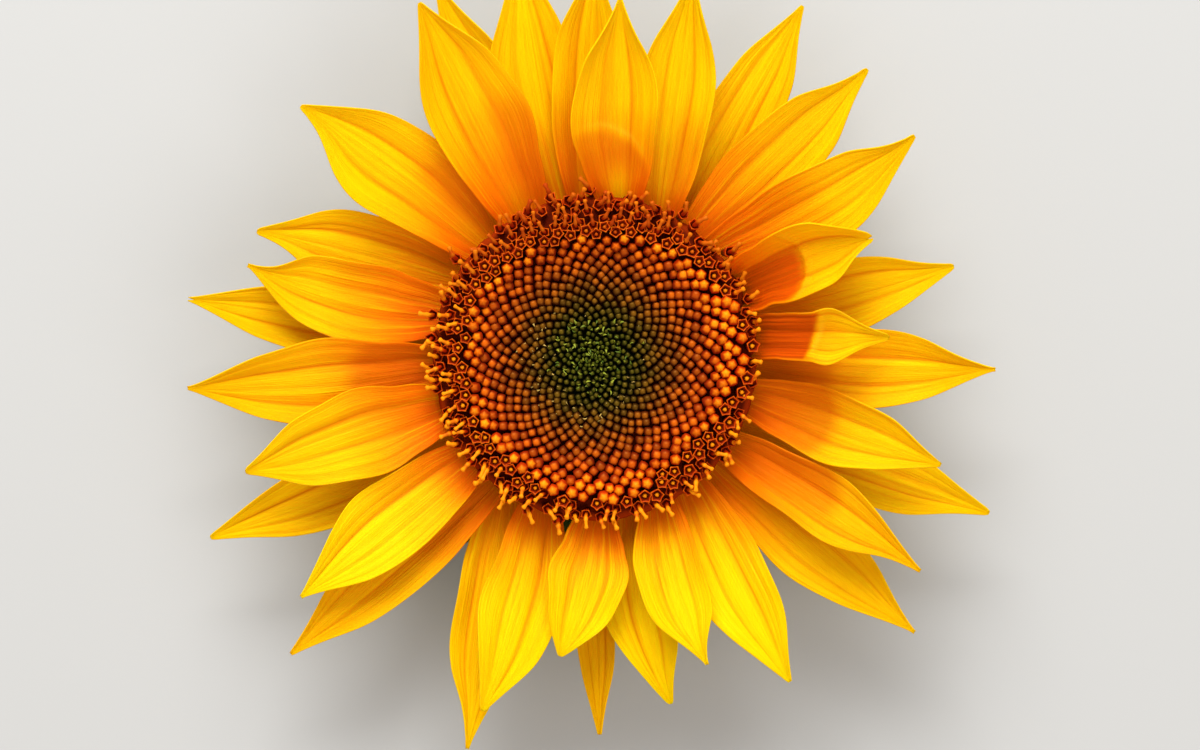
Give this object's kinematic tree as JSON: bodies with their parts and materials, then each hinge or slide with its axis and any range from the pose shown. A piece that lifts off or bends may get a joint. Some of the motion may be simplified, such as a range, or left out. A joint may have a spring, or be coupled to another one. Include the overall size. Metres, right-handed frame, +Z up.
{
  "type": "sunflower head",
  "caption": "Sunflower seed head in bloom, cut below the flower and lying face up: a domed disc of florets ringed by golden ray petals over green bracts.",
  "frame": {"origin": "on the surface that the head lies on, under the middle of its box", "axes": "+Z straight up out of the flower's face, square to the disc; +Y along the face, towards the petals at the top of the picture; +X to the right of them"},
  "size_m": [0.1784, 0.175, 0.0441],
  "materials": {
    "petal": "soft satin, golden yellow turning orange towards the base",
    "bract": "matt, finely hairy leaf green",
    "stem": "matt, hairy pale green",
    "green_florets": "satin olive green buds with bright bract tips",
    "orange_florets": "satin brown to orange buds",
    "open_florets": "matt deep orange florets with orange anthers"
  },
  "bodies": {
    "root": {"stem_stub": "stem", "receptacle": "stem", "disc_green_buds": "green_florets", "disc_orange_buds": "orange_florets", "disc_open_florets": "open_florets", "ray_petal_01": "petal", "ray_petal_02": "petal", "ray_petal_03": "petal", "ray_petal_04": "petal", "ray_petal_05": "petal", "ray_petal_06": "petal", "ray_petal_07": "petal", "ray_petal_08": "petal", "ray_petal_09": "petal", "ray_petal_10": "petal", "ray_petal_11": "petal", "ray_petal_12": "petal", "ray_petal_13": "petal", "ray_petal_14": "petal", "ray_petal_15": "petal", "ray_petal_16": "petal", "ray_petal_17": "petal", "ray_petal_18": "petal", "ray_petal_19": "petal", "ray_petal_20": "petal", "ray_petal_21": "petal", "ray_petal_22": "petal", "ray_petal_23": "petal", "ray_petal_24": "petal", "ray_petal_25": "petal", "ray_petal_26": "petal", "ray_petal_27": "petal", "ray_petal_28": "petal", "ray_petal_29": "petal", "ray_petal_30": "petal", "ray_petal_31": "petal", "ray_petal_32": "petal", "ray_petal_33": "petal", "ray_petal_34": "petal", "bract_01": "bract", "bract_02": "bract", "bract_03": "bract", "bract_04": "bract", "bract_05": "bract", "bract_06": "bract", "bract_07": "bract", "bract_08": "bract", "bract_09": "bract", "bract_10": "bract", "bract_11": "bract", "bract_12": "bract", "bract_13": "bract", "bract_14": "bract", "bract_15": "bract", "bract_16": "bract", "bract_17": "bract", "bract_18": "bract", "bract_19": "bract", "bract_20": "bract", "bract_21": "bract"}
  },
  "joints": []
}
